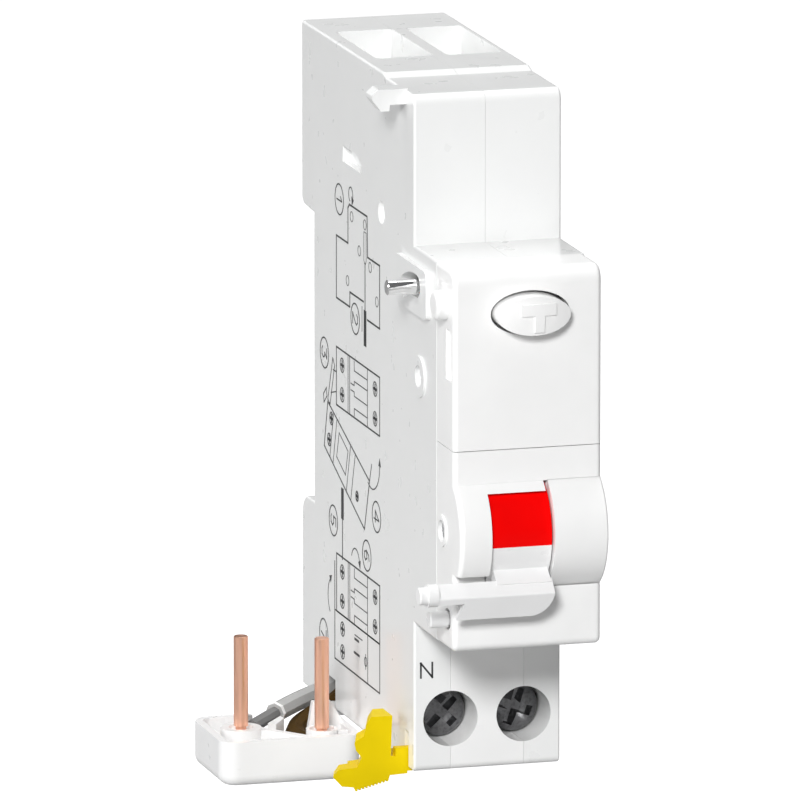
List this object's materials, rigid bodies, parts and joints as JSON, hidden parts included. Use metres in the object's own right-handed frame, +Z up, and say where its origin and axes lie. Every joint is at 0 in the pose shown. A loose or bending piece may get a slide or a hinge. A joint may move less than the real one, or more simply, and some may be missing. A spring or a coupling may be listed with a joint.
{
  "type": "residual current device",
  "caption": "Narrow rail-mounted earth-leakage add-on with oval test button, red toggle, copper connection pins and a yellow lock.",
  "frame": {"origin": "middle of the face that seats on the 35 mm rail", "axes": "+X to the right, +Y to the rail behind, +Z up"},
  "size_m": [0.0358, 0.0694, 0.0872],
  "materials": {
    "case": "satin",
    "front": "satin",
    "white_parts": "satin",
    "inner_plastic": "matte",
    "red_insert": "gloss",
    "steel": "satin",
    "spring_steel": "satin",
    "polished_steel": "polished",
    "copper": "satin",
    "core": "matte",
    "grey_insulation": "satin",
    "brown_insulation": "satin",
    "board": "satin",
    "resistor": "satin",
    "capacitor": "gloss",
    "dark_screw": "gloss",
    "sleeve": "satin",
    "black_plastic": "satin",
    "yellow_latch": "satin"
  },
  "bodies": {
    "module": {"left_housing": "case", "right_housing": "case", "terminal_frame": "front", "upper_cover": "front", "lower_cover": "front", "right_cheek": "front", "contact_carrier": "inner_plastic", "test_contact": "spring_steel", "button_spring": "spring_steel", "toggle_axle": "steel", "toggle_spring": "spring_steel", "interlock_spring": "spring_steel", "trip_axle": "steel", "relay_frame": "steel", "relay_bobbin": "black_plastic", "relay_winding": "copper", "relay_spring": "spring_steel", "toroid_core": "core", "secondary_winding": "copper", "neutral_conductor": "grey_insulation", "phase_conductor": "brown_insulation", "circuit_board": "board", "test_resistor": "resistor", "film_capacitor": "capacitor", "neutral_bar": "copper", "phase_bar": "copper", "rail_clip_spring": "spring_steel", "neutral_lead": "grey_insulation", "phase_lead": "brown_insulation", "neutral_sleeve": "sleeve"},
    "button": {"test_button": "front"},
    "toggle": {"toggle_drum": "white_parts", "red_flag": "red_insert", "toggle_lever": "white_parts"},
    "peg": {"interlock_peg": "white_parts"},
    "trip": {"trip_lever": "inner_plastic", "trip_pin": "polished_steel"},
    "plunger": {"relay_plunger": "steel"},
    "clip": {"rail_clip": "inner_plastic"},
    "tray": {"connection_tray": "white_parts", "neutral_pin": "copper", "phase_pin": "copper"},
    "latch": {"lock_latch": "yellow_latch"},
    "left_screw": {"neutral_screw": "dark_screw"},
    "right_screw": {"phase_screw": "dark_screw"},
    "left_clamp": {"neutral_clamp": "steel"},
    "right_clamp": {"phase_clamp": "steel"}
  },
  "joints": [
    {"name": "button_press", "type": "slide", "parent": "module", "child": "button", "axis": [0, 1, 0], "range_m": [0, 0.0015], "stiffness_N_per_m": 400, "deforming": ["button_spring"]},
    {"name": "toggle_turn", "type": "hinge", "parent": "module", "child": "toggle", "pos_m": [0, -0.0555, -0.009], "axis": [-1, 0, 0], "range_deg": [0, 70], "deforming": ["toggle_spring"]},
    {"name": "peg_press", "type": "slide", "parent": "module", "child": "peg", "axis": [1, 0, 0], "range_m": [0, 0.002], "stiffness_N_per_m": 200, "deforming": ["interlock_spring"]},
    {"name": "trip_turn", "type": "hinge", "parent": "module", "child": "trip", "pos_m": [0, -0.0459, 0.0075], "axis": [-1, 0, 0], "range_deg": [0, 26]},
    {"name": "plunger_drop", "type": "slide", "parent": "module", "child": "plunger", "axis": [0, 0, -1], "range_m": [0, 0.004], "deforming": ["relay_spring"]},
    {"name": "rail_clip_slide", "type": "slide", "parent": "module", "child": "clip", "axis": [0, 0, -1], "range_m": [0, 0.003], "stiffness_N_per_m": 800, "deforming": ["rail_clip_spring"]},
    {"name": "tray_drop", "type": "slide", "parent": "module", "child": "tray", "axis": [0, 0, -1], "range_m": [0, 0.012], "deforming": ["neutral_lead", "neutral_sleeve", "phase_lead"]},
    {"name": "latch_slide", "type": "slide", "parent": "module", "child": "latch", "axis": [-1, 0, 0], "range_m": [0, 0.004]},
    {"name": "left_screw_turn", "type": "hinge", "parent": "module", "child": "left_screw", "pos_m": [-0.0045, 0, -0.03455], "axis": [0, 1, 0], "range_deg": [0, 1830]},
    {"name": "right_screw_turn", "type": "hinge", "parent": "module", "child": "right_screw", "pos_m": [0.0045, 0, -0.03455], "axis": [0, 1, 0], "range_deg": [0, 1830]},
    {"name": "left_clamp_slide", "type": "slide", "parent": "module", "child": "left_clamp", "axis": [0, -1, 0], "range_m": [0, 0.0035]},
    {"name": "right_clamp_slide", "type": "slide", "parent": "module", "child": "right_clamp", "axis": [0, -1, 0], "range_m": [0, 0.0035]}
  ],
  "couplings": [
    {"joint": "trip_turn", "follows": "plunger_drop", "rad_per_m": 109.08},
    {"joint": "left_screw_turn", "follows": "left_clamp_slide", "rad_per_m": 8976},
    {"joint": "right_screw_turn", "follows": "right_clamp_slide", "rad_per_m": 8976}
  ]
}
